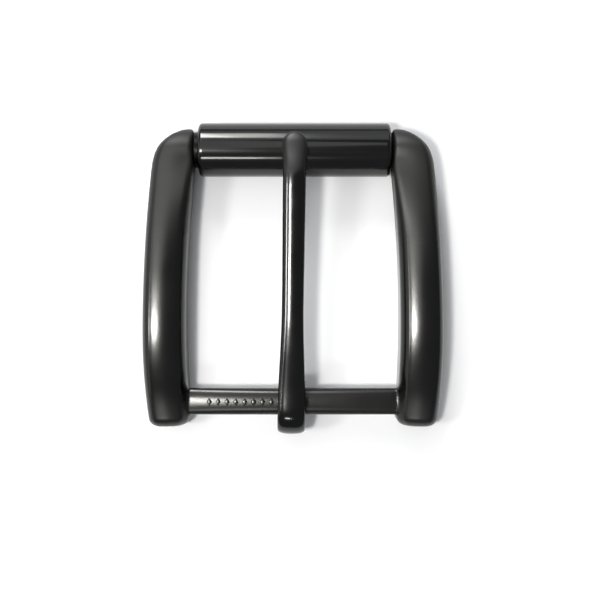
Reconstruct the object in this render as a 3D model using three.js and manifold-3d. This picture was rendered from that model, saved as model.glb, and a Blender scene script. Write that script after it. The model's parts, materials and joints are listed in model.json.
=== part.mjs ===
// Roller buckle for a 40 mm dress belt: a cast frame of two bowed arms and a hub bar, a steel axle
// between the arms, a roller on the axle, and a prong hooked round the hub bar.
//
// Millimetres. X runs across the strap, Y from the hub bar to the roller, Z out of the face.
// The origin is the middle of the buckle's outline, on the plane that the buckle lies on.

import * as THREE from 'three';
import { mergeVertices } from 'three/addons/utils/BufferGeometryUtils.js';
import Module from 'manifold-3d';

const wasm = await Module();
wasm.setup();

// --- Driving dimensions ---------------------------------------------------------------------

const CLEARANCE = 0.3; // between any two pieces

// Roller and axle, on one line between the arms. The axle's shouldered ends sit in the arms.
const ROLLER = { y: 24.8, z: 5.15, radius: 5.15, length: 36.6, endRound: 0.7, shift: 0.3 };
const AXLE = { radius: 3.45, spigotRadius: 2.5, spigotLength: 3.2, chamfer: 0.4 };

// Arms in plan. Each side is a slow bow: its reach from the centre line at its widest station,
// where that station is, and how fast it closes towards the roller and towards the hub.
const ARM_OUTSIDE = { reach: 28.65, widestY: -12, toRoller: 0.00147, toHub: 0.0039 };
const ARM_INSIDE = { reach: 20.5, widestY: -10, toRoller: 0.00156, toHub: 0.0022 };
const ARM_FLAT_FROM_Y = 21; // from here on the inside is a flat wall that faces the roller
const ARM_HUB_END_Y = -28.5;
const ARM_CORNER = { rollerOuter: 6.6, rollerInner: 0.9, hubOuter: 1.3, hubInner: 2.4 };

// Arms from the side. The face is a slow bow too, its reach measured up from the table and its
// highest station nearer the hub. The underside is a low arch that stands on its hub end.
const ARM_FACE = { reach: 10.2, widestY: -6, toRoller: 0.0012, toHub: 0.0075 };
const ARM_UNDERSIDE = { rise: 1.8, highestY: 8, fall: 0.0024 };
const ARM_ROLLER_END_RADIUS = 4;
const ARM_HUB_END_ROUND = { face: 1.9, underside: 0.5 };

// Arm section: flat underside, straight walls, round shoulders and a broad crown that leans
// towards the window, by this much rise for each millimetre outwards.
const ARM_SECTION = { halfWidth: 4.15, depth: 8, corner: 1.1, shoulder: 2.4, crown: 12, lean: 0.1 };
const ARM_THINNEST_FULL = 4.4; // a thinner arm has no room for the shoulders and the corners

// Beside the roller the inner shoulder tightens and the lean eases off, so the arm faces the
// roller with a flat wall.
const ARM_TIGHT_SHOULDER = { share: 0.4, fromY: 8, toY: 22 };

// Hub bar, cast in one with the arms.
const HUB = { y: -23.6, z: 5, width: 5.2, depth: 3.6, corner: 1.2, shoulder: 1.3, crown: 4.5 };
const HUB_LAP = 2.5; // how far the bar runs on into each arm
const HUB_SEAT_MARGIN = 1.2; // the prong's seat runs this far past the hook on each side

// A row of small raised lozenges on the left half of the hub bar's face.
const PIP = { count: 8, radius: 0.62, pitch: 1.7, firstX: -16, height: 0.15 };

// Prong.
const HOOK = { y: -25.05, z: 5.1, outerRadius: 4.85, thickness: 1.8, width: 5.3, tailAngle: 0.3 };
const BLADE = { width: 4.2, thickness: 2.7, domeRadius: 2.9 };
const TIP = { endY: 27.25, width: 4.7, creaseY: 19.6, creaseWidth: 4.4, thickness: 1.3 };
const PRONG_LIE = { shiftX: -0.27, yaw: -0.8 * Math.PI / 180 };

// --- Helpers --------------------------------------------------------------------------------

/** Points of an arc, from one angle to another in degrees. */
function arc(cx, cy, radius, from, to, steps) {
  const points = [];
  for (let i = 0; i <= steps; i++) {
    const angle = THREE.MathUtils.degToRad(THREE.MathUtils.lerp(from, to, i / steps));
    points.push(new THREE.Vector2(cx + radius * Math.cos(angle), cy + radius * Math.sin(angle)));
  }
  return points;
}

/** Evenly spaced values from one number to another, both ends included. */
function spread(from, to, steps) {
  return Array.from({ length: steps + 1 }, (_, i) => THREE.MathUtils.lerp(from, to, i / steps));
}

/** How far a quarter-round edge has drawn back at a given distance from the end it rounds. */
function roundOff(distance, radius) {
  const inside = THREE.MathUtils.clamp(radius - distance, 0, radius);
  return radius - Math.sqrt(radius * radius - inside * inside);
}

/** Extrudes a section through a list of stations; place() puts each of its points in space. */
function sweep(section, stations, place) {
  const steps = stations.length - 1;
  const geometry = new THREE.ExtrudeGeometry(section, { depth: steps, steps, bevelEnabled: false });
  const position = geometry.attributes.position;
  for (let i = 0; i < position.count; i++) {
    const station = stations[Math.round(position.getZ(i))];
    const point = place(position.getX(i), position.getY(i), station);
    position.setXYZ(i, point.x, point.y, point.z);
  }
  return geometry;
}

/** A closed geometry as a solid that can be joined and cut. */
function solid(geometry) {
  const bare = geometry.index ? geometry.toNonIndexed() : geometry.clone();
  bare.deleteAttribute('normal');
  bare.deleteAttribute('uv');
  const merged = mergeVertices(bare, 1e-4);
  return new wasm.Manifold(new wasm.Mesh({
    numProp: 3,
    vertProperties: new Float32Array(merged.attributes.position.array),
    triVerts: new Uint32Array(merged.index.array),
  }));
}

/** A solid as a geometry with normals. */
function toGeometry(body) {
  const mesh = body.getMesh();
  const geometry = new THREE.BufferGeometry();
  geometry.setAttribute('position', new THREE.BufferAttribute(mesh.vertProperties, 3));
  geometry.setIndex(new THREE.BufferAttribute(mesh.triVerts, 1));
  geometry.computeVertexNormals();
  return geometry;
}

/** Turns a shape made about the Y axis so that it lies about the X axis, at the roller's line. */
function onRollerLine(geometry, x) {
  return geometry.rotateZ(-Math.PI / 2).translate(x, ROLLER.y, ROLLER.z);
}

// --- Frame casting --------------------------------------------------------------------------

/** One side of the arm's bow: how far out, or how far up, it reaches at a station. */
function bow(side, y) {
  const away = y - side.widestY;
  return side.reach - (away > 0 ? side.toRoller : side.toHub) * away * away;
}

function armInside(y) {
  return bow(ARM_INSIDE, Math.min(y, ARM_FLAT_FROM_Y));
}

/** The arm's four limits at one station along Y. */
function armStation(y) {
  const fromRollerEnd = ROLLER.y + ARM_ROLLER_END_RADIUS - y;
  const fromHubEnd = y - ARM_HUB_END_Y;
  // The roller end closes on the roller's line in a half round.
  const pastRoller = Math.max(y - ROLLER.y, 0) / ARM_ROLLER_END_RADIUS;
  const open = Math.sqrt(1 - pastRoller ** 2);
  const { rise, highestY, fall } = ARM_UNDERSIDE;
  const underside = Math.max(rise - fall * (y - highestY) ** 2, 0);
  return {
    y,
    outer: bow(ARM_OUTSIDE, y)
      - roundOff(fromRollerEnd, ARM_CORNER.rollerOuter) - roundOff(fromHubEnd, ARM_CORNER.hubOuter),
    inner: armInside(y)
      + roundOff(fromRollerEnd, ARM_CORNER.rollerInner) + roundOff(fromHubEnd, ARM_CORNER.hubInner),
    top: THREE.MathUtils.lerp(ROLLER.z, bow(ARM_FACE, y), open)
      - roundOff(fromHubEnd, ARM_HUB_END_ROUND.face),
    bottom: THREE.MathUtils.lerp(ROLLER.z, underside, open)
      + roundOff(fromHubEnd, ARM_HUB_END_ROUND.underside),
  };
}

/** Stations along the arm, from the roller end to the hub end, closer together at both ends. */
function armStations() {
  const roundEnd = spread(84, 0, 9).map(
    (degrees) => ROLLER.y + ARM_ROLLER_END_RADIUS * Math.sin(THREE.MathUtils.degToRad(degrees)),
  );
  const straight = spread(ROLLER.y, ARM_HUB_END_Y + ARM_CORNER.hubInner, 28).slice(1);
  const hubEnd = spread(0, 90, 7).slice(1).map(
    (degrees) => ARM_HUB_END_Y + ARM_CORNER.hubInner * (1 - Math.sin(THREE.MathUtils.degToRad(degrees))),
  );
  return [...roundEnd, ...straight, ...hubEnd].map(armStation);
}

function armSection() {
  const { halfWidth, depth, corner, shoulder, crown } = ARM_SECTION;
  const shoulderX = halfWidth - shoulder;
  const crownDrop = Math.sqrt((crown - shoulder) ** 2 - shoulderX ** 2);
  const shoulderY = depth - crown + crownDrop;
  const crownAngle = THREE.MathUtils.radToDeg(Math.acos(shoulderX / (crown - shoulder)));
  return new THREE.Shape([
    ...arc(halfWidth - corner, corner, corner, -90, 0, 3),
    ...arc(shoulderX, shoulderY, shoulder, 0, crownAngle, 7),
    ...arc(0, depth - crown, crown, crownAngle, 180 - crownAngle, 4).slice(1, -1),
    ...arc(-shoulderX, shoulderY, shoulder, 180 - crownAngle, 180, 7),
    ...arc(corner - halfWidth, corner, corner, 180, 270, 3),
  ]);
}

/**
 * One arm; side is 1 on the right and -1 on the left. The section's left is the arm's inside.
 * The shoulders hang from the face and the lower corners stand on the underside, so both keep
 * their radii while the wall between them gives; a thin end shrinks them together.
 */
function arm(side) {
  const { halfWidth, depth, lean } = ARM_SECTION;
  const { share, fromY, toY } = ARM_TIGHT_SHOULDER;
  const stations = armStations();
  if (side < 0) {
    stations.reverse();
  }
  return sweep(armSection(), stations, (x, y, station) => {
    const squeeze = Math.min((station.top - station.bottom) / ARM_THINNEST_FULL, 1);
    const upper = y > depth / 2;
    const easing = THREE.MathUtils.lerp(1, share, THREE.MathUtils.smoothstep(station.y, fromY, toY));
    const tight = upper && x < 0 ? easing : 1;
    const fromWall = Math.min(1 + x / halfWidth, 1);
    const drawn = fromWall * (1 - (1 - tight) * (1 - fromWall));
    const across = 0.5 * (drawn + Math.max(x / halfWidth, 0));
    const reach = THREE.MathUtils.lerp(station.inner, station.outer, across);
    const height = upper
      ? station.top - (depth - y) * squeeze * tight + lean * easing * squeeze * x
      : station.bottom + y * squeeze;
    return new THREE.Vector3(side * reach, station.y, height);
  });
}

function hubSection() {
  const { width, depth, corner, shoulder, crown } = HUB;
  const shoulderX = width / 2 - shoulder;
  const crownDrop = Math.sqrt((crown - shoulder) ** 2 - shoulderX ** 2);
  const shoulderY = depth / 2 - crown + crownDrop;
  const crownAngle = THREE.MathUtils.radToDeg(Math.acos(shoulderX / (crown - shoulder)));
  const cornerX = width / 2 - corner;
  const cornerY = corner - depth / 2;
  return new THREE.Shape([
    ...arc(cornerX, cornerY, corner, -90, 0, 4),
    ...arc(shoulderX, shoulderY, shoulder, 0, crownAngle, 4),
    ...arc(0, depth / 2 - crown, crown, crownAngle, 180 - crownAngle, 6).slice(1, -1),
    ...arc(-shoulderX, shoulderY, shoulder, 180 - crownAngle, 180, 4),
    ...arc(-cornerX, cornerY, corner, 180, 270, 4),
  ]);
}

/** The hub bar, from inside one arm to inside the other, its faces parted at the prong's seat. */
function hubBar() {
  const end = armInside(HUB.y) + HUB_LAP;
  const seat = HOOK.width / 2 + HUB_SEAT_MARGIN;
  return sweep(hubSection(), [-end, -seat, seat, end], (across, up, x) => (
    new THREE.Vector3(x, HUB.y + across, HUB.z + up)
  ));
}

/** A raised lozenge, standing a little proud of the hub bar's crown. */
function pip(index) {
  const rooted = 1;
  const geometry = new THREE.CylinderGeometry(PIP.radius, PIP.radius, rooted + PIP.height, 4);
  return geometry.rotateX(Math.PI / 2).translate(
    PIP.firstX + index * PIP.pitch,
    HUB.y,
    HUB.z + (HUB.depth + PIP.height - rooted) / 2,
  );
}

/** The blind socket in one arm that takes the axle's end. */
function axleSocket(side) {
  const overrun = 1; // clear of the wall, so that the mouth is cut cleanly
  const length = overrun + AXLE.spigotLength + CLEARANCE;
  const middle = armInside(ROLLER.y) - overrun + length / 2;
  const radius = AXLE.spigotRadius + CLEARANCE;
  return onRollerLine(new THREE.CylinderGeometry(radius, radius, length, 48), side * middle);
}

function frameGeometry() {
  let body = solid(arm(1)).add(solid(arm(-1))).add(solid(hubBar()));
  for (let i = 0; i < PIP.count; i++) {
    body = body.add(solid(pip(i)));
  }
  return toGeometry(body.subtract(solid(axleSocket(1))).subtract(solid(axleSocket(-1))));
}

// --- Axle and roller ------------------------------------------------------------------------

function axleGeometry() {
  const { radius, spigotRadius, spigotLength, chamfer } = AXLE;
  const wall = armInside(ROLLER.y);
  const shoulder = wall - CLEARANCE;
  const end = wall + spigotLength;
  const half = [
    new THREE.Vector2(radius, shoulder - chamfer),
    new THREE.Vector2(radius - chamfer, shoulder),
    new THREE.Vector2(spigotRadius, shoulder),
    new THREE.Vector2(spigotRadius, end - chamfer),
    new THREE.Vector2(spigotRadius - chamfer, end),
    new THREE.Vector2(0, end),
  ];
  const otherHalf = half.map((point) => new THREE.Vector2(point.x, -point.y)).reverse();
  return onRollerLine(new THREE.LatheGeometry([...otherHalf, ...half], 40), 0);
}

function rollerGeometry() {
  const { radius, length, endRound } = ROLLER;
  const half = length / 2;
  const bore = AXLE.radius + CLEARANCE;
  const profile = [
    new THREE.Vector2(bore, -half),
    ...arc(radius - endRound, endRound - half, endRound, -90, 0, 3),
    ...arc(radius - endRound, half - endRound, endRound, 0, 90, 3),
    new THREE.Vector2(bore, half),
    new THREE.Vector2(bore, -half),
  ];
  return onRollerLine(new THREE.LatheGeometry(profile, 64), ROLLER.shift);
}

// --- Prong ----------------------------------------------------------------------------------

/** Stations along one stretch of the prong, its width and thickness easing from end to end. */
function stretch(curve, steps, width, thickness) {
  return spread(0, 1, steps).map((t) => {
    const ease = THREE.MathUtils.smoothstep(t, 0, 1);
    return {
      at: curve.getPoint(t),
      along: curve.getTangent(t),
      halfWidth: THREE.MathUtils.lerp(width[0], width[1], ease) / 2,
      thickness: THREE.MathUtils.lerp(thickness[0], thickness[1], ease),
    };
  });
}

/** The prong's centre line in the Y-Z plane, from the tail under the hub bar to the tip. */
function prongStations() {
  const wall = HOOK.thickness;
  const ring = HOOK.outerRadius - wall / 2;
  const tailRing = HUB.width / 2 + 1.25 * CLEARANCE + wall / 2;
  const hubBottom = new THREE.Vector2(HUB.y, HUB.z - tailRing);
  const hookBottom = new THREE.Vector2(HOOK.y, HOOK.z - ring);
  const hookTop = new THREE.Vector2(HOOK.y, HOOK.z + ring);
  const bladeMiddle = new THREE.Vector2(-5.6, 10.4);
  const crease = new THREE.Vector2(TIP.creaseY, 12.05);
  const roundStart = new THREE.Vector2(TIP.endY - TIP.width / 2, 11.5);

  const tail = new THREE.EllipseCurve(
    HUB.y, HUB.z, tailRing, tailRing, HOOK.tailAngle, -Math.PI / 2, true,
  );
  const under = new THREE.LineCurve(hubBottom, hookBottom);
  const back = new THREE.EllipseCurve(
    HOOK.y, HOOK.z, ring, ring, -Math.PI / 2, -Math.PI * 1.5, true,
  );
  const root = new THREE.CubicBezierCurve(
    hookTop, new THREE.Vector2(-19.5, 9.15), new THREE.Vector2(-12, 9.95), bladeMiddle,
  );
  const blade = new THREE.QuadraticBezierCurve(bladeMiddle, new THREE.Vector2(7, 11.25), crease);
  const overRoller = new THREE.QuadraticBezierCurve(
    crease, new THREE.Vector2(22, 11.95), roundStart,
  );
  const fall = overRoller.getTangent(1);

  const stations = [
    ...stretch(tail, 9, [HOOK.width, HOOK.width], [wall * 0.8, wall]),
    ...stretch(under, 1, [HOOK.width, HOOK.width], [wall, wall]).slice(1),
    ...stretch(back, 16, [HOOK.width, HOOK.width], [wall, wall * 1.05]).slice(1),
    ...stretch(root, 12, [HOOK.width, BLADE.width], [wall * 1.05, BLADE.thickness]).slice(1),
    ...stretch(blade, 8, [BLADE.width, TIP.creaseWidth], [BLADE.thickness, BLADE.thickness]).slice(1),
    ...stretch(overRoller, 5, [TIP.creaseWidth, TIP.width], [BLADE.thickness, 1.8]).slice(1),
  ];
  // The tip's end is a half round in plan, thinning as it closes.
  const radius = TIP.width / 2;
  for (const degrees of spread(0, 84, 7).slice(1)) {
    const angle = THREE.MathUtils.degToRad(degrees);
    const closed = Math.cos(angle);
    stations.push({
      at: roundStart.clone().addScaledVector(fall, radius * Math.sin(angle)),
      along: fall,
      halfWidth: radius * closed,
      thickness: THREE.MathUtils.lerp(0.5, THREE.MathUtils.lerp(TIP.thickness, 1.8, closed), closed),
    });
  }
  return stations;
}

/** The prong's section, one unit either side of the middle and one unit thick, face up. */
function prongSection() {
  const halfWidth = BLADE.width / 2;
  const dome = BLADE.domeRadius / halfWidth;
  const flatten = halfWidth / BLADE.thickness;
  const face = spread(0.92, -0.92, 10).map(
    (x) => new THREE.Vector2(x, 0.5 - flatten * (dome - Math.sqrt(dome * dome - x * x))),
  );
  return new THREE.Shape([
    new THREE.Vector2(0.8, -0.5),
    new THREE.Vector2(0.94, -0.42),
    new THREE.Vector2(1, -0.28),
    new THREE.Vector2(1, 0.06),
    ...face,
    new THREE.Vector2(-1, 0.06),
    new THREE.Vector2(-1, -0.28),
    new THREE.Vector2(-0.94, -0.42),
    new THREE.Vector2(-0.8, -0.5),
  ]);
}

function prongGeometry() {
  return sweep(prongSection(), prongStations(), (x, y, { at, along, halfWidth, thickness }) => {
    const lift = y * thickness;
    return new THREE.Vector3(-x * halfWidth, at.x - along.y * lift, at.y + along.x * lift);
  });
}

// --- Assembly -------------------------------------------------------------------------------

function piece(name, geometry, colour, roughness) {
  const material = new THREE.MeshStandardMaterial({ color: colour, metalness: 0.9, roughness });
  const mesh = new THREE.Mesh(geometry, material);
  mesh.name = name;
  return mesh;
}

const frame = piece('frame', frameGeometry(), 0x2c2c2b, 0.38);
const axle = piece('roller_axle', axleGeometry(), 0x55565a, 0.35);
const roller = piece('roller_sleeve', rollerGeometry(), 0x2a2a2a, 0.26);

// The prong lies a touch off square, inside the play of its hook on the hub bar.
const prong = piece('prong', prongGeometry().translate(0, -HUB.y, -HUB.z), 0x262625, 0.3);
prong.position.set(PRONG_LIE.shiftX, HUB.y, HUB.z);
prong.rotation.z = PRONG_LIE.yaw;

const group = new THREE.Group();
group.add(frame, axle, roller, prong);

export default group;
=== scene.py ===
"""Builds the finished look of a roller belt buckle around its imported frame."""

import json
import math

import bmesh
import bpy
from bpy.props import FloatProperty, FloatVectorProperty, IntProperty, PointerProperty
from mathutils import Matrix, Vector
from mathutils.geometry import interpolate_bezier


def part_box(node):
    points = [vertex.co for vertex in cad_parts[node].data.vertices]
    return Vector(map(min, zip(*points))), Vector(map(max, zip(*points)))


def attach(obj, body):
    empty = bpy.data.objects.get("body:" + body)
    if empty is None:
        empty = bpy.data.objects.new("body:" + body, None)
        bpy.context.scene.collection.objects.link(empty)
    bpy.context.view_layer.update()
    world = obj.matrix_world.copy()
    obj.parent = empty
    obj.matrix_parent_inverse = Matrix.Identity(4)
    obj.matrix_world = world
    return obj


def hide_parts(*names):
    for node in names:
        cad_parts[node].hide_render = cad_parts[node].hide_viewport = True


bl_info = {
    "name": "Roller Belt Buckle",
    "version": (1, 0, 0),
    "blender": (4, 5, 0),
    "location": "View3D > Sidebar > Buckle",
    "description": "Builds a gunmetal roller buckle, its prong, roller and axle, and a table-top studio",
    "category": "Add Mesh",
}

MM = 0.001

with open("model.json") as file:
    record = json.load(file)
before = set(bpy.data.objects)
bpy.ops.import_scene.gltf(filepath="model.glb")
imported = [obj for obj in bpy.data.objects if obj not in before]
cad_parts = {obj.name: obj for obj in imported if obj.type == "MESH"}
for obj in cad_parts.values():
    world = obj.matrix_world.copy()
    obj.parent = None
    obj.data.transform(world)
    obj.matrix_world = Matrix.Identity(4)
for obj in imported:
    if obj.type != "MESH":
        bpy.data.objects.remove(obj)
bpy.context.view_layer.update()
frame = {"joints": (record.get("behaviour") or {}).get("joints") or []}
JOINT_AT = {joint["name"]: Vector(joint["pos_m"]) for joint in frame["joints"]}
HUB_AT = JOINT_AT["prong_pivot"]
ROLLER_AT = JOINT_AT["roller_spin"]


# --- Settings -------------------------------------------------------------------------------


def length(name, description, millimetres):
    """A length setting, given in millimetres and stored in metres."""
    return FloatProperty(
        name=name,
        description=description,
        default=millimetres * MM,
        min=0.0,
        precision=4,
        subtype="DISTANCE",
        unit="LENGTH",
    )


def colour(name, description, value):
    """A surface colour setting."""
    return FloatVectorProperty(
        name=name,
        description=description,
        default=value,
        min=0.0,
        max=1.0,
        size=3,
        subtype="COLOR",
    )


class BuckleFrameSizes(bpy.types.PropertyGroup):
    """Sizes of the cast frame: two bowed arms and the hub bar."""

    outer_reach: length("Outer reach", "Centre line to the arm's outside at its widest", 28.65)
    outer_widest_y: FloatProperty(
        name="Outer widest station",
        description="Where along Y the arms stand widest apart outside",
        default=-12 * MM,
        unit="LENGTH",
    )
    inner_reach: length("Inner reach", "Centre line to the arm's inside at its widest", 20.5)
    inner_widest_y: FloatProperty(
        name="Inner widest station",
        description="Where along Y the arms stand widest apart inside",
        default=-10 * MM,
        unit="LENGTH",
    )
    section_width: length("Arm width", "Width of the straight arm blank", 8.3)
    section_depth: length("Arm depth", "Depth of the straight arm blank", 8.0)
    shoulder: length("Shoulder radius", "Radius of the arm's upper edges", 1.9)
    corner: length("Corner radius", "Radius of the arm's lower edges", 1.1)
    crown: length("Crown radius", "Radius across the arm's face", 10.0)
    lean: FloatProperty(
        name="Lean",
        description="How far the arm's face leans towards the window, as rise over run",
        default=0.085,
    )
    face_height: length("Face height", "Highest point of the arm's face", 10.2)
    underside_rise: length("Underside rise", "Highest point of the arm's underside", 1.8)
    roller_end: length("Roller end radius", "Radius of the arm's round end beside the roller", 4.0)
    hub_width: length("Hub bar width", "Size of the hub bar along Y", 5.2)
    hub_depth: length("Hub bar depth", "Size of the hub bar along Z", 3.6)
    hub_fillet: length("Hub bar fillet", "Fillet where the hub bar meets the arms", 0.3)
    hub_camber: length("Hub bar camber", "How far the bar's face falls from its middle to an arm", 0.6)


class BuckleProngSizes(bpy.types.PropertyGroup):
    """Sizes of the prong."""

    hook_width: length("Hook width", "Width of the hook round the hub bar", 5.3)
    hook_radius: length("Hook radius", "Outer radius of the hook", 4.85)
    hook_wall: length("Hook wall", "Thickness of the hook", 1.8)
    blade_width: length("Blade width", "Width of the blade at its narrowest", 4.2)
    blade_thickness: length("Blade thickness", "Thickness of the blade", 2.7)
    tip_width: length("Tip width", "Width across the fingertip", 4.7)
    tip_wall: length("Tip thickness", "Thickness where the tip begins to round off", 1.8)


class BuckleFinish(bpy.types.PropertyGroup):
    """Colours of the metal finishes."""

    casting: colour("Casting", "Plated casting", (0.05, 0.05, 0.048))
    roller: colour("Roller", "Plated roller tube", (0.052, 0.052, 0.05))
    prong: colour("Prong", "Plated prong", (0.047, 0.047, 0.046))
    # Painted shade: the axle's colour is darkened nearly to black to stand in for the shade in the gap
    # between arm and roller, where the axle shows.
    axle: colour("Axle", "Blackened steel axle", (0.012, 0.012, 0.012))
    floor: colour("Floor", "Table top", (0.93, 0.93, 0.935))
    smoothness: IntProperty(
        name="Smoothness",
        description="Subdivision steps on the rounded pieces",
        default=2,
        min=0,
        max=3,
    )


# --- Mesh helpers ---------------------------------------------------------------------------


def round_off(distance, radius):
    """How far a quarter-round edge has drawn back at a distance from the end it rounds."""
    inside = min(max(radius - distance, 0.0), radius)
    return radius - math.sqrt(radius * radius - inside * inside)


def smooth_step(value, low, high):
    """Eases from 0 to 1 as value goes from low to high."""
    t = min(max((value - low) / (high - low), 0.0), 1.0)
    return t * t * (3 - 2 * t)


def mix(a, b, t):
    """The value a share t of the way from a to b."""
    return a + (b - a) * t


def spread(low, high, steps):
    """Evenly spaced values, both ends included."""
    return [mix(low, high, i / steps) for i in range(steps + 1)]


def cut_across(bm, axis, places):
    """Cuts the whole mesh square to an axis at each place."""
    for place in places:
        point = Vector((0, 0, 0))
        point[axis] = place
        normal = Vector((0, 0, 0))
        normal[axis] = 1
        bmesh.ops.bisect_plane(
            bm,
            geom=bm.verts[:] + bm.edges[:] + bm.faces[:],
            dist=1e-7,
            plane_co=point,
            plane_no=normal,
        )


def round_edges(bm, edges, radius, segments):
    """Bevels edges to a round of the given radius."""
    bmesh.ops.bevel(
        bm,
        geom=edges,
        offset=radius,
        offset_type="OFFSET",
        segments=segments,
        profile=0.5,
        affect="EDGES",
        clamp_overlap=True,
        material=-1,
    )


def finish_piece(name, bm, material, body, stands_for=()):
    """Turns a bmesh into a piece that rides on its body, with its finish."""
    bmesh.ops.remove_doubles(bm, verts=bm.verts, dist=1e-7)
    bmesh.ops.recalc_face_normals(bm, faces=bm.faces)
    mesh = bpy.data.meshes.new(name)
    bm.to_mesh(mesh)
    bm.free()
    mesh.shade_smooth()
    mesh.materials.append(material)
    piece = bpy.data.objects.new(name, mesh)
    bpy.context.scene.collection.objects.link(piece)
    for node in stands_for:
        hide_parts(node)
    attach(piece, body)
    return piece


def add_subdivision(piece, levels):
    """Finishes a piece with a smooth subdivided surface."""
    modifier = piece.modifiers.new("Smooth surface", "SUBSURF")
    modifier.levels = levels
    modifier.render_levels = levels


# --- Finishes -------------------------------------------------------------------------------


class Nodes:
    """A short way to add and join the nodes of one material."""

    def __init__(self, name):
        self.material = bpy.data.materials.new(name)
        self.material.use_nodes = True
        self.tree = self.material.node_tree
        self.shader = self.tree.nodes["Principled BSDF"]

    def add(self, kind, **settings):
        node = self.tree.nodes.new(kind)
        for key, value in settings.items():
            setattr(node, key, value)
        return node

    def join(self, source, target):
        self.tree.links.new(source, target)

    def position(self, scale):
        """Object coordinates, stretched by a scale along each axis."""
        coordinates = self.add("ShaderNodeTexCoord")
        mapping = self.add("ShaderNodeMapping")
        mapping.inputs["Scale"].default_value = scale
        self.join(coordinates.outputs["Object"], mapping.inputs["Vector"])
        return mapping.outputs["Vector"]

    def noise(self, scale, detail, stretch=(1, 1, 1)):
        """Noise in object space."""
        node = self.add("ShaderNodeTexNoise")
        node.inputs["Scale"].default_value = scale
        node.inputs["Detail"].default_value = detail
        self.join(self.position(stretch), node.inputs["Vector"])
        return node.outputs["Fac"]

    def along(self, axis):
        """How far along the buckle's X, Y or Z a point lies."""
        place = self.add("ShaderNodeSeparateXYZ")
        self.join(self.position((1, 1, 1)), place.inputs["Vector"])
        return place.outputs[axis]

    def remap(self, value, from_low, from_high, to_low, to_high):
        """Maps a value from one range to another, smoothly and clamped."""
        node = self.add("ShaderNodeMapRange", interpolation_type="SMOOTHSTEP")
        node.inputs["From Min"].default_value = from_low
        node.inputs["From Max"].default_value = from_high
        node.inputs["To Min"].default_value = to_low
        node.inputs["To Max"].default_value = to_high
        self.join(value, node.inputs["Value"])
        return node.outputs["Result"]

    def combine(self, operation, *values):
        """Arithmetic on one or two values."""
        node = self.add("ShaderNodeMath", operation=operation)
        for socket, value in zip(node.inputs, values):
            if isinstance(value, (int, float)):
                socket.default_value = value
            else:
                self.join(value, socket)
        return node.outputs["Value"]

    def tint(self, base, value, spread_share):
        """A colour that a value makes a little lighter and darker."""
        node = self.add("ShaderNodeMix", data_type="RGBA")
        node.inputs["A"].default_value = (*[c * (1 - spread_share) for c in base], 1)
        node.inputs["B"].default_value = (*[c * (1 + spread_share) for c in base], 1)
        self.join(value, node.inputs["Factor"])
        return node.outputs["Result"]

    def bump(self, height, strength, distance, before=None):
        """A bump from a height, on top of an earlier one where there is one."""
        node = self.add("ShaderNodeBump")
        node.inputs["Strength"].default_value = strength
        node.inputs["Distance"].default_value = distance
        self.join(height, node.inputs["Height"])
        if before is not None:
            self.join(before, node.inputs["Normal"])
        return node.outputs["Normal"]


def casting_finish(finish):
    """Dark plating over a cast surface: a soft gloss, duller by the roller and on the feet."""
    nodes = Nodes("gunmetal_casting")
    shader = nodes.shader
    shader.inputs["Metallic"].default_value = 1.0
    cloud = nodes.noise(90, 3)
    grain = nodes.noise(5200, 2)
    nodes.join(nodes.tint(finish.casting, cloud, 0.12), shader.inputs["Base Color"])
    dull = nodes.remap(nodes.along("Y"), 0, 24 * MM, 0.0, 0.3)
    off_centre = nodes.combine("ABSOLUTE", nodes.along("X"))
    bar = nodes.remap(off_centre, 18.6 * MM, 19.8 * MM, 0.08, 0.0)
    foot = nodes.remap(nodes.along("Y"), -27 * MM, -20 * MM, 0.16, 0.0)
    gloss = nodes.remap(cloud, 0.3, 0.7, 0.17, 0.21)
    ends = nodes.combine("ADD", dull, nodes.combine("MAXIMUM", foot, bar))
    nodes.join(nodes.combine("ADD", gloss, ends), shader.inputs["Roughness"])
    ripple = nodes.bump(nodes.noise(260, 2), 0.12, 0.02 * MM)
    nodes.join(nodes.bump(grain, 0.35, 0.006 * MM, ripple), shader.inputs["Normal"])
    return nodes.material


def roller_finish(finish):
    """Dark plating over a drawn tube, with fine marks along its length."""
    nodes = Nodes("gunmetal_roller")
    shader = nodes.shader
    shader.inputs["Metallic"].default_value = 1.0
    draw = nodes.noise(1500, 3, (0.02, 1, 1))
    cloud = nodes.noise(140, 3)
    nodes.join(nodes.tint(finish.roller, cloud, 0.1), shader.inputs["Base Color"])
    nodes.join(nodes.remap(draw, 0.3, 0.7, 0.11, 0.16), shader.inputs["Roughness"])
    nodes.join(nodes.bump(draw, 0.2, 0.004 * MM), shader.inputs["Normal"])
    return nodes.material


def prong_finish(finish):
    """Dark plating, glossy along the blade and rubbed duller at the tip."""
    nodes = Nodes("gunmetal_prong")
    shader = nodes.shader
    shader.inputs["Metallic"].default_value = 1.0
    cloud = nodes.noise(160, 3)
    grain = nodes.noise(4200, 2)
    worn = nodes.remap(nodes.along("Y"), 18.8 * MM, 20.6 * MM, 0.0, 0.24)
    gloss = nodes.remap(cloud, 0.3, 0.7, 0.13, 0.18)
    nodes.join(nodes.tint(finish.prong, cloud, 0.1), shader.inputs["Base Color"])
    nodes.join(nodes.combine("ADD", gloss, worn), shader.inputs["Roughness"])
    nodes.join(nodes.bump(grain, 0.3, 0.005 * MM), shader.inputs["Normal"])
    return nodes.material


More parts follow.
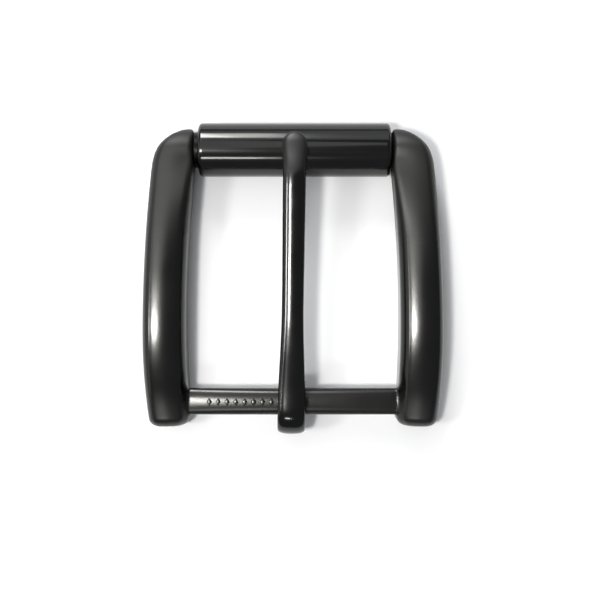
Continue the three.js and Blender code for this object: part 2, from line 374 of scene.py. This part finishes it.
def axle_finish(finish):
    """Steel, turned, with fine rings round it; its colour is darkened nearly to black as painted shade
    for the gap between arm and roller.
    """
    nodes = Nodes("axle_painted_gap_shade")
    shader = nodes.shader
    shader.inputs["Metallic"].default_value = 1.0
    rings = nodes.noise(2400, 2, (1, 0.02, 0.02))
    # Painted shade: the near-black base colour stands in for the shade in the gap beside the roller; the
    # rings only vary it slightly.
    nodes.join(nodes.tint(finish.axle, rings, 0.1), shader.inputs["Base Color"])
    nodes.join(nodes.remap(rings, 0.3, 0.7, 0.28, 0.4), shader.inputs["Roughness"])
    nodes.join(nodes.bump(rings, 0.3, 0.005 * MM), shader.inputs["Normal"])
    return nodes.material


def floor_finish(finish):
    """Plain pale card with a barely visible tooth."""
    nodes = Nodes("pale_table")
    shader = nodes.shader
    shader.inputs["Specular IOR Level"].default_value = 0.2
    shader.inputs["Roughness"].default_value = 0.75
    tooth = nodes.noise(600, 2)
    nodes.join(nodes.tint(finish.floor, tooth, 0.004), shader.inputs["Base Color"])
    nodes.join(nodes.bump(tooth, 0.05, 0.02 * MM), shader.inputs["Normal"])
    return nodes.material


# --- Frame casting --------------------------------------------------------------------------

OUTER_FALL = (1.47, 3.9)
INNER_FALL = (1.56, 2.2)
FACE_FALL = (1.2, 6.2)
FACE_HIGHEST_Y = -6 * MM
UNDERSIDE_FALL = 2.4
UNDERSIDE_HIGHEST_Y = 8 * MM
INNER_FLAT_FROM_Y = 21 * MM
HUB_END_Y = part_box("frame")[0].y
ROUND_AT_ROLLER = (6.6 * MM, 0.9 * MM)
ROUND_AT_HUB = (1.3 * MM, 2.4 * MM)
HUB_END_ROUND = (1.9 * MM, 0.5 * MM)
THINNEST_FULL_ARM = 4.4 * MM
TIGHT_SHOULDER = (0.4, 8 * MM, 22 * MM)
FILLET_SPREAD = 1.12
DIMPLE_AT = (20.1 * MM, 22.6 * MM)
DIMPLE_RADIUS = 2.2 * MM
DIMPLE_DEPTH = 0.5 * MM
LOZENGES = 8
LOZENGE_PITCH = 1.7 * MM
FIRST_LOZENGE_X = -16 * MM
LOZENGE_FOOT = 0.68 * MM
LOZENGE_TOP = 0.46 * MM
LOZENGE_HEIGHT = 0.3 * MM
LOZENGE_EDGE = 0.05 * MM


def bow(reach, widest_y, fall, y):
    """How far out or up one side of an arm reaches at a station; fall is per metre squared."""
    away = y - widest_y
    return reach - (fall[0] if away > 0 else fall[1]) * away * away


def arm_limits(sizes, y):
    """The arm's inside, outside, top and bottom at one station along Y."""
    from_roller_end = ROLLER_AT.y + sizes.roller_end - y
    from_hub_end = y - HUB_END_Y
    past_roller = max(y - ROLLER_AT.y, 0) / sizes.roller_end
    openness = math.sqrt(max(1 - past_roller**2, 0))
    face = bow(sizes.face_height, FACE_HIGHEST_Y, FACE_FALL, y)
    underside = max(sizes.underside_rise - UNDERSIDE_FALL * (y - UNDERSIDE_HIGHEST_Y) ** 2, 0)
    inside = bow(sizes.inner_reach, sizes.inner_widest_y, INNER_FALL, min(y, INNER_FLAT_FROM_Y))
    outside = bow(sizes.outer_reach, sizes.outer_widest_y, OUTER_FALL, y)
    return (
        inside
        + round_off(from_roller_end, ROUND_AT_ROLLER[1])
        + round_off(from_hub_end, ROUND_AT_HUB[1]),
        outside
        - round_off(from_roller_end, ROUND_AT_ROLLER[0])
        - round_off(from_hub_end, ROUND_AT_HUB[0]),
        mix(ROLLER_AT.z, face, openness) - round_off(from_hub_end, HUB_END_ROUND[0]),
        mix(ROLLER_AT.z, underside, openness) + round_off(from_hub_end, HUB_END_ROUND[1]),
    )


def hub_patch_half(sizes):
    """Half the width and depth of the hub bar's root, fillet included."""
    return sizes.hub_width / 2 * FILLET_SPREAD, sizes.hub_depth / 2 * FILLET_SPREAD


def arm_blank(bm, sizes):
    """A straight bar with rounded long edges, cut across at the arm's stations."""
    roller_end_y = ROLLER_AT.y + sizes.roller_end * math.sin(math.radians(84))
    bmesh.ops.create_cube(bm, size=1)
    bmesh.ops.scale(
        bm,
        vec=(sizes.section_width, roller_end_y - HUB_END_Y, sizes.section_depth),
        verts=bm.verts,
    )
    middle = (roller_end_y + HUB_END_Y) / 2
    bmesh.ops.translate(bm, vec=(0, middle, sizes.section_depth / 2), verts=bm.verts)
    for height, radius, segments in (
        (sizes.section_depth, sizes.shoulder, 8),
        (0, sizes.corner, 3),
    ):
        edges = [
            edge
            for edge in bm.edges
            if all(abs(vert.co.z - height) < 1e-7 for vert in edge.verts)
            and abs(edge.verts[0].co.x - edge.verts[1].co.x) < 1e-7
        ]
        round_edges(bm, edges, radius, segments)

    hub_half, hub_half_depth = hub_patch_half(sizes)
    hub_low, hub_high = HUB_AT.y - hub_half, HUB_AT.y + hub_half
    hub_end = [mix(HUB_END_Y, hub_low, 1 - math.cos(angle)) for angle in spread(0, math.pi / 2, 7)]
    round_end = [
        ROLLER_AT.y + sizes.roller_end * math.sin(math.radians(angle))
        for angle in spread(0, 84, 9)
    ]
    straight = spread(hub_high, ROLLER_AT.y, 26)
    stations = hub_end[1:] + spread(hub_low, hub_high, 6)[1:] + straight[1:] + round_end[1:-1]
    cut_across(bm, 1, stations)
    cut_across(bm, 0, [0])
    cut_across(bm, 2, [HUB_AT.z - hub_half_depth])


def bend_arm(bm, sizes):
    """Bows and arches the straight blank into the right-hand arm."""
    half = sizes.section_width / 2
    depth = sizes.section_depth
    share, from_y, to_y = TIGHT_SHOULDER
    for vert in bm.verts:
        x, y, z = vert.co
        inside, outside, top, bottom = arm_limits(sizes, y)
        squeeze = min((top - bottom) / THINNEST_FULL_ARM, 1)
        upper = z > depth / 2
        easing = mix(1, share, smooth_step(y, from_y, to_y))
        tight = easing if upper and x < 0 else 1
        from_wall = min(1 + x / half, 1)
        drawn = from_wall * (1 - (1 - tight) * (1 - from_wall))
        across = 0.5 * (drawn + max(x / half, 0))
        hang = (depth - z + x**2 / (2 * sizes.crown)) * tight - sizes.lean * easing * x
        vert.co.x = mix(inside, outside, across)
        vert.co.z = top - hang * squeeze if upper else bottom + z * squeeze
        if upper:
            away = math.hypot(vert.co.x - DIMPLE_AT[0], y - DIMPLE_AT[1])
            vert.co.z -= DIMPLE_DEPTH * smooth_step(away, DIMPLE_RADIUS, 0)


def inner_wall_x(sizes, y, z):
    """Where the arm's inner wall and shoulder stand at a point beside the hub bar."""
    inside, _, top, _ = arm_limits(sizes, y)
    half = sizes.section_width / 2
    radius = sizes.shoulder + half * half / (2 * sizes.crown)
    below_edge = max(top - sizes.lean * half - z, 0)
    return inside + round_off(below_edge, radius)


def hub_crest(sizes, x):
    """How far the hub bar's face stands above its centre line; it is cambered from end to end."""
    return sizes.hub_depth / 2 - sizes.hub_camber * (x / sizes.inner_reach) ** 2


def hub_outline(sizes, bearing, scale, x):
    """A point of the hub bar's section, crowned above and flatter below, at one bearing."""
    across, up = math.cos(bearing), math.sin(bearing)
    roundness = 0.8 if up > 0 else 0.6
    reach = hub_crest(sizes, x) if up > 0 else sizes.hub_depth / 2
    return (
        HUB_AT.y + math.copysign(abs(across) ** roundness, across) * sizes.hub_width / 2 * scale,
        HUB_AT.z + math.copysign(abs(up) ** roundness, up) * reach * scale,
    )


def evenly_by_bearing(face):
    """An even bearing round the hub bar for each corner of a face, in the face's own order."""
    def bearing(index):
        offset = face.verts[index].co - HUB_AT
        return math.atan2(offset.z, offset.y)

    order = sorted(range(len(face.verts)), key=bearing)
    step = 2 * math.pi / len(order)
    return [(order.index(i) + 0.5) * step - math.pi for i in range(len(order))]


def hub_root_faces(bm, sizes):
    """The faces on the blank's inside from which the hub bar grows."""
    half, half_depth = hub_patch_half(sizes)
    shoulder_height = sizes.section_depth - sizes.shoulder
    top = shoulder_height + sizes.shoulder * math.sin(math.radians(56.25))
    return [
        face
        for face in bm.faces
        if face.normal.x < -0.1
        and abs(face.calc_center_median().y - HUB_AT.y) < half
        and HUB_AT.z - half_depth < face.calc_center_median().z < top
    ]


def grow_hub_bar(bm, sizes, root):
    """Draws the right half of the hub bar out of the arm's inside, with a fillet at its root."""
    face = bmesh.ops.dissolve_faces(bm, faces=root)["region"][0]
    bearings = evenly_by_bearing(face)
    wall = arm_limits(sizes, HUB_AT.y)[0]
    for vert, bearing in zip(face.verts, bearings):
        y, z = hub_outline(sizes, bearing, FILLET_SPREAD, wall)
        vert.co = (inner_wall_x(sizes, y, z), y, z)
    rings = [None, *spread(wall - 0.6 * MM, 0, 10)]
    for ring_x in rings:
        face = bmesh.ops.extrude_discrete_faces(bm, faces=[face])["faces"][0]
        for vert, bearing in zip(face.verts, bearings):
            x = ring_x
            y, z = hub_outline(sizes, bearing, 1, wall if x is None else x)
            if x is None:
                x = inner_wall_x(sizes, y, z) - sizes.hub_fillet
            vert.co = (x, y, z)
    bmesh.ops.delete(bm, geom=[face], context="FACES_ONLY")


class BUCKLE_OT_frame(bpy.types.Operator):
    """Model the cast frame: two bowed arms and the hub bar between them"""

    bl_idname = "buckle.frame"
    bl_label = "Frame casting"

    def execute(self, context):
        sizes = context.scene.buckle_frame
        finish = context.scene.buckle_finish
        bm = bmesh.new()
        arm_blank(bm, sizes)
        root = hub_root_faces(bm, sizes)
        bend_arm(bm, sizes)
        grow_hub_bar(bm, sizes, root)
        bmesh.ops.mirror(
            bm,
            geom=bm.verts[:] + bm.edges[:] + bm.faces[:],
            matrix=Matrix.Identity(4),
            merge_dist=1e-6,
            axis="X",
        )
        material = casting_finish(finish)
        piece = finish_piece(
            "frame_casting", bm, material, "frame_body", ["frame"]
        )
        add_subdivision(piece, finish.smoothness)
        return {"FINISHED"}


class BUCKLE_OT_pips(bpy.types.Operator):
    """Raise a row of small lozenges on the hub bar's face"""

    bl_idname = "buckle.pips"
    bl_label = "Hub bar lozenges"

    def execute(self, context):
        sizes = context.scene.buckle_frame
        bm = bmesh.new()
        for index in range(LOZENGES):
            made = bmesh.ops.create_cone(
                bm,
                cap_ends=True,
                segments=4,
                radius1=LOZENGE_FOOT,
                radius2=LOZENGE_TOP,
                depth=LOZENGE_HEIGHT,
            )
            x = FIRST_LOZENGE_X + index * LOZENGE_PITCH
            at = (x, HUB_AT.y, HUB_AT.z + hub_crest(sizes, x))
            bmesh.ops.scale(bm, vec=(0.9, 1.3, 1), verts=made["verts"])
            bmesh.ops.translate(bm, vec=at, verts=made["verts"])
        round_edges(bm, bm.edges[:], LOZENGE_EDGE, 2)
        material = bpy.data.materials["gunmetal_casting"]
        finish_piece("hub_lozenges", bm, material, "frame_body")
        return {"FINISHED"}


# --- Axle and roller ------------------------------------------------------------------------

SPIGOT_RADIUS = 2.5 * MM
AXLE_CHAMFER = 0.35 * MM
BORE_CLEARANCE = 0.3 * MM
TUBE_END_ROUND = 0.7 * MM
BORE_END_ROUND = 0.25 * MM
TUBE_END_LENGTH = 0.9 * MM


def circular_edges(bm, x, radius):
    """The ring of edges round the roller's line at one place and radius."""

    def on_ring(vert):
        away = math.hypot(vert.co.y - ROLLER_AT.y, vert.co.z - ROLLER_AT.z)
        return abs(vert.co.x - x) < 1e-6 and abs(away - radius) < 1e-6

    return [edge for edge in bm.edges if all(on_ring(vert) for vert in edge.verts)]


class BUCKLE_OT_axle(bpy.types.Operator):
    """Turn the shouldered axle that the roller runs on"""

    bl_idname = "buckle.axle"
    bl_label = "Axle"

    def execute(self, context):
        low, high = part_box("roller_axle")
        radius = (high.z - low.z) / 2
        wall = arm_limits(context.scene.buckle_frame, ROLLER_AT.y)[0]
        bm = bmesh.new()
        profile = [
            (low.x, 0),
            (low.x, SPIGOT_RADIUS),
            (-wall, SPIGOT_RADIUS),
            (-wall, radius),
            (wall, radius),
            (wall, SPIGOT_RADIUS),
            (high.x, SPIGOT_RADIUS),
            (high.x, 0),
        ]
        verts = [
            bm.verts.new((x, ROLLER_AT.y, ROLLER_AT.z + away)) for x, away in profile
        ]
        edges = [bm.edges.new(pair) for pair in zip(verts, verts[1:])]
        bmesh.ops.spin(
            bm,
            geom=verts + edges,
            cent=ROLLER_AT,
            axis=(1, 0, 0),
            angle=2 * math.pi,
            steps=64,
            use_merge=True,
        )
        bmesh.ops.remove_doubles(bm, verts=bm.verts, dist=1e-7)
        corners = (
            (low.x, SPIGOT_RADIUS),
            (high.x, SPIGOT_RADIUS),
            (-wall, radius),
            (wall, radius),
        )
        for x, away in corners:
            round_edges(bm, circular_edges(bm, x, away), AXLE_CHAMFER, 3)
        material = axle_finish(context.scene.buckle_finish)
        finish_piece("roller_pin", bm, material, "frame_body", ["roller_axle"])
        return {"FINISHED"}


class BUCKLE_OT_roller(bpy.types.Operator):
    """Turn the roller tube with its rounded ends"""

    bl_idname = "buckle.roller"
    bl_label = "Roller"

    def execute(self, context):
        low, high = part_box("roller_sleeve")
        radius = (high.z - low.z) / 2
        axle_low, axle_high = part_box("roller_axle")
        bore = (axle_high.z - axle_low.z) / 2 + BORE_CLEARANCE
        bm = bmesh.new()
        verts = [
            bm.verts.new((x, ROLLER_AT.y, ROLLER_AT.z + away))
            for x, away in (
                (low.x, bore),
                (low.x, radius),
                (high.x, radius),
                (high.x, bore),
            )
        ]
        edges = [bm.edges.new((verts[i - 1], verts[i])) for i in range(4)]
        bmesh.ops.spin(
            bm,
            geom=verts + edges,
            cent=ROLLER_AT,
            axis=(1, 0, 0),
            angle=2 * math.pi,
            steps=128,
            use_merge=True,
        )
        for x in (low.x, high.x):
            round_edges(bm, circular_edges(bm, x, radius), TUBE_END_ROUND, 6)
            round_edges(bm, circular_edges(bm, x, bore), BORE_END_ROUND, 3)
        # Cuts beside the end rounds keep the shading of the long wall straight.
        cut_across(bm, 0, spread(low.x + TUBE_END_LENGTH, high.x - TUBE_END_LENGTH, 4))
        material = roller_finish(context.scene.buckle_finish)
        finish_piece(
            "roller_tube", bm, material, "roller_body", ["roller_sleeve"]
        )
        return {"FINISHED"}


# --- Prong ----------------------------------------------------------------------------------

HOOK_AT = Vector((0, -25.05 * MM, 5.1 * MM))
TAIL_RADIUS = 2.975 * MM
CREASE_AT = Vector((0, 19.6 * MM, 12.3 * MM))
CREASE_WIDTH = 4.4 * MM
TIP_END_Y = 27.45 * MM
TIP_Z = 11.5 * MM
TIP_LIP = 0.5 * MM
TIP_EDGE = 1.3 * MM
PRONG_SHIFT = -0.27 * MM
PRONG_YAW = math.radians(-0.8)


def prong_stations(sizes):
    """Places along the prong's centre line: point, direction, half width and thickness."""
    wall = sizes.hook_wall
    ring = sizes.hook_radius - wall / 2
    tail_ring = TAIL_RADIUS + wall / 2
    stations = []

    def arc(centre, radius, start, end, steps, thick):
        """Follows an arc clockwise, seen from +X, from one angle to another in degrees."""
        for share in spread(0, 1, steps):
            angle = math.radians(mix(start, end, share))
            out = Vector((0, math.cos(angle), math.sin(angle)))
            along = Vector((0, out.z, -out.y))
            stations.append(
                (centre + out * radius, along, sizes.hook_width / 2, mix(*thick, share))
            )

    def curve(start, start_handle, end_handle, end, steps, width, thick):
        """Follows a Bezier curve, its width and thickness easing from end to end."""
        points = interpolate_bezier(start, start_handle, end_handle, end, 8 * steps + 1)
        for i in range(1, steps + 1):
            before, at = points[8 * i - 1], points[8 * i]
            ease = smooth_step(i / steps, 0, 1)
            stations.append(
                (at, (at - before).normalized(), mix(*width, ease) / 2, mix(*thick, ease))
            )

    def point(y, z):
        return Vector((0, y * MM, z * MM))

    arc(HUB_AT, tail_ring, 17.2, -90, 8, (wall * 0.8, wall))
    arc(HOOK_AT, ring, -90, -270, 14, (wall, wall * 1.05))
    hook_top = HOOK_AT + Vector((0, 0, ring))
    middle = point(-5.6, 10.2)
    blade_bow = point(7.5, 10.82)
    tip_start = Vector((0, TIP_END_Y - sizes.tip_width / 2, TIP_Z))
    curve(
        hook_top, point(-19.5, 9.15), point(-12, 9.9), middle, 10,
        (sizes.hook_width, sizes.blade_width), (wall * 1.05, sizes.blade_thickness),
    )
    curve(
        middle, mix(middle, blade_bow, 2 / 3), mix(CREASE_AT, blade_bow, 2 / 3), CREASE_AT, 9,
        (sizes.blade_width, CREASE_WIDTH), (sizes.blade_thickness, sizes.blade_thickness),
    )
    bend = point(22, 12.05)
    curve(
        CREASE_AT, mix(CREASE_AT, bend, 2 / 3), mix(tip_start, bend, 2 / 3), tip_start, 5,
        (CREASE_WIDTH, sizes.tip_width), (sizes.blade_thickness, sizes.tip_wall),
    )
    along = stations[-1][1]
    for angle in (math.radians(degrees) for degrees in spread(0, 82, 7)[1:]):
        closed = math.cos(angle)
        stations.append(
            (
                tip_start + along * (sizes.tip_width / 2 * math.sin(angle)),
                along,
                sizes.tip_width / 2 * closed,
                mix(TIP_LIP, mix(TIP_EDGE, sizes.tip_wall, closed), closed),
            )
        )
    return stations


def station_matrix(station):
    """Puts the unit section at a station, square to the centre line."""
    at, along, half_width, thickness = station
    up = Vector((1, 0, 0)).cross(along)
    turn = Matrix((Vector((1, 0, 0)), along, up)).transposed().to_4x4()
    return Matrix.Translation(at) @ turn @ Matrix.Diagonal((half_width, 1, thickness, 1))


def prong_section(bm):
    """One face across the prong, domed above and flat below, a unit each side and one thick."""
    verts = bmesh.ops.create_circle(bm, cap_ends=True, segments=20, radius=1)["verts"]
    for vert in verts:
        across, up = vert.co.x, vert.co.y
        side = math.copysign(abs(across) ** 0.8, across)
        if up > 0:
            height = 0.04 + 0.46 * up**0.9
        else:
            height = 0.04 - 0.54 * abs(up) ** 0.45
        vert.co = (side, 0, height)
    return verts[0].link_faces[0]


class BUCKLE_OT_prong(bpy.types.Operator):
    """Forge the prong: a hook round the hub bar, a domed blade and a flattened fingertip"""

    bl_idname = "buckle.prong"
    bl_label = "Prong"

    def execute(self, context):
        sizes = context.scene.buckle_prong
        finish = context.scene.buckle_finish
        bm = bmesh.new()
        face = prong_section(bm)
        placed = Matrix.Identity(4)
        stations = [station_matrix(station) for station in prong_stations(sizes)]
        for number, place in enumerate(stations):
            if number:
                face = bmesh.ops.extrude_discrete_faces(bm, faces=[face])["faces"][0]
            bmesh.ops.transform(bm, matrix=place @ placed.inverted(), verts=face.verts)
            placed = place
        # The first extrusion uses up the starting face, so the tail's end is closed again.
        bmesh.ops.holes_fill(bm, edges=bm.edges[:], sides=0)
        lie = (
            Matrix.Translation(HUB_AT + Vector((PRONG_SHIFT, 0, 0)))
            @ Matrix.Rotation(PRONG_YAW, 4, "Z")
            @ Matrix.Translation(-HUB_AT)
        )
        bmesh.ops.transform(bm, matrix=lie, verts=bm.verts)
        piece = finish_piece(
            "prong_forging", bm, prong_finish(finish), "prong_body", ["prong"]
        )
        add_subdivision(piece, finish.smoothness)
        return {"FINISHED"}


# --- Stage ----------------------------------------------------------------------------------

CAMERA_AT = Vector((1.35 * MM, -4.1 * MM, 200 * MM))
HALF_VIEW_SLOPE = 0.2967359
FIELD_OF_VIEW = 2 * math.atan(HALF_VIEW_SLOPE)
LAMP_TARGET = Vector((0, 0, 5 * MM))
TABLE_HALF = 0.6


def set_down(name, data, at):
    """Adds an object at a place, facing straight down."""
    thing = bpy.data.objects.new(name, data)
    thing.location = at
    bpy.context.scene.collection.objects.link(thing)
    return thing


def panel_light(name, at, size, brightness, tint=(1, 1, 1)):
    """A rectangular light aimed at the buckle; place and size in millimetres."""
    light = bpy.data.lights.new(name, "AREA")
    light.shape = "RECTANGLE"
    light.size, light.size_y = (side * MM for side in size)
    light.energy = brightness * math.pi * light.size * light.size_y
    light.color = tint
    lamp = set_down(name, light, Vector(at) * MM)
    aim = LAMP_TARGET - lamp.location
    lamp.rotation_euler = aim.to_track_quat("-Z", "Y").to_euler()


class BUCKLE_OT_stage(bpy.types.Operator):
    """Lay the pale table and set the lights and the camera"""

    bl_idname = "buckle.stage"
    bl_label = "Table, lights and camera"

    def execute(self, context):
        scene = context.scene
        bm = bmesh.new()
        bmesh.ops.create_grid(bm, x_segments=1, y_segments=1, size=TABLE_HALF)
        mesh = bpy.data.meshes.new("table_top")
        bm.to_mesh(mesh)
        bm.free()
        mesh.materials.append(floor_finish(scene.buckle_finish))
        table = bpy.data.objects.new("table_top", mesh)
        scene.collection.objects.link(table)

        world = bpy.data.worlds.new("studio")
        world.use_nodes = True
        sky = world.node_tree.nodes["Background"]
        sky.inputs["Color"].default_value = (0.94, 0.97, 1, 1)
        sky.inputs["Strength"].default_value = 0.22
        scene.world = world

        panel_light("overhead_lamp", (-99, -41, 350), (40, 44), 120, (1, 0.985, 0.97))
        panel_light("west_lamp", (-290, -44, 320), (70, 62), 34)
        panel_light("west_wall", (-700, 0, 250), (700, 400), 0.7)
        panel_light("ceiling", (-210, 150, 520), (520, 480), 0.85, (0.97, 0.98, 1))
        panel_light("north_wall", (0, 560, 330), (900, 520), 0.7, (0.95, 0.97, 1))
        panel_light("north_west_window", (-92, 370, 240), (88, 150), 20)
        panel_light("north_window", (-28, 370, 240), (40, 150), 7)
        panel_light("south_strip", (-146, -758, 880), (196, 66), 30)

        camera = bpy.data.cameras.new("camera")
        camera.angle = FIELD_OF_VIEW
        camera.clip_start = 0.01
        camera.clip_end = 10
        scene.camera = set_down("camera", camera, CAMERA_AT)
        scene.view_settings.view_transform = "Standard"
        return {"FINISHED"}


# --- Panel and running ----------------------------------------------------------------------


class BUCKLE_PT_build(bpy.types.Panel):
    """Lists the steps that build the buckle"""

    bl_label = "Roller Belt Buckle"
    bl_idname = "BUCKLE_PT_build"
    bl_space_type = "VIEW_3D"
    bl_region_type = "UI"
    bl_category = "Buckle"

    def draw(self, context):
        for step in STEPS:
            self.layout.operator(step.bl_idname)


STEPS = (
    BUCKLE_OT_frame,
    BUCKLE_OT_pips,
    BUCKLE_OT_axle,
    BUCKLE_OT_roller,
    BUCKLE_OT_prong,
    BUCKLE_OT_stage,
)
GROUPS = {
    "buckle_frame": BuckleFrameSizes,
    "buckle_prong": BuckleProngSizes,
    "buckle_finish": BuckleFinish,
}


def register():
    for cls in (*GROUPS.values(), *STEPS, BUCKLE_PT_build):
        bpy.utils.register_class(cls)
    for name, group in GROUPS.items():
        setattr(bpy.types.Scene, name, PointerProperty(type=group))


def unregister():
    for name in GROUPS:
        delattr(bpy.types.Scene, name)
    for cls in reversed((*GROUPS.values(), *STEPS, BUCKLE_PT_build)):
        bpy.utils.unregister_class(cls)


def main():
    register()
    for step in STEPS:
        group, name = step.bl_idname.split(".")
        getattr(getattr(bpy.ops, group), name)()


if __name__ == "__main__":
    main()
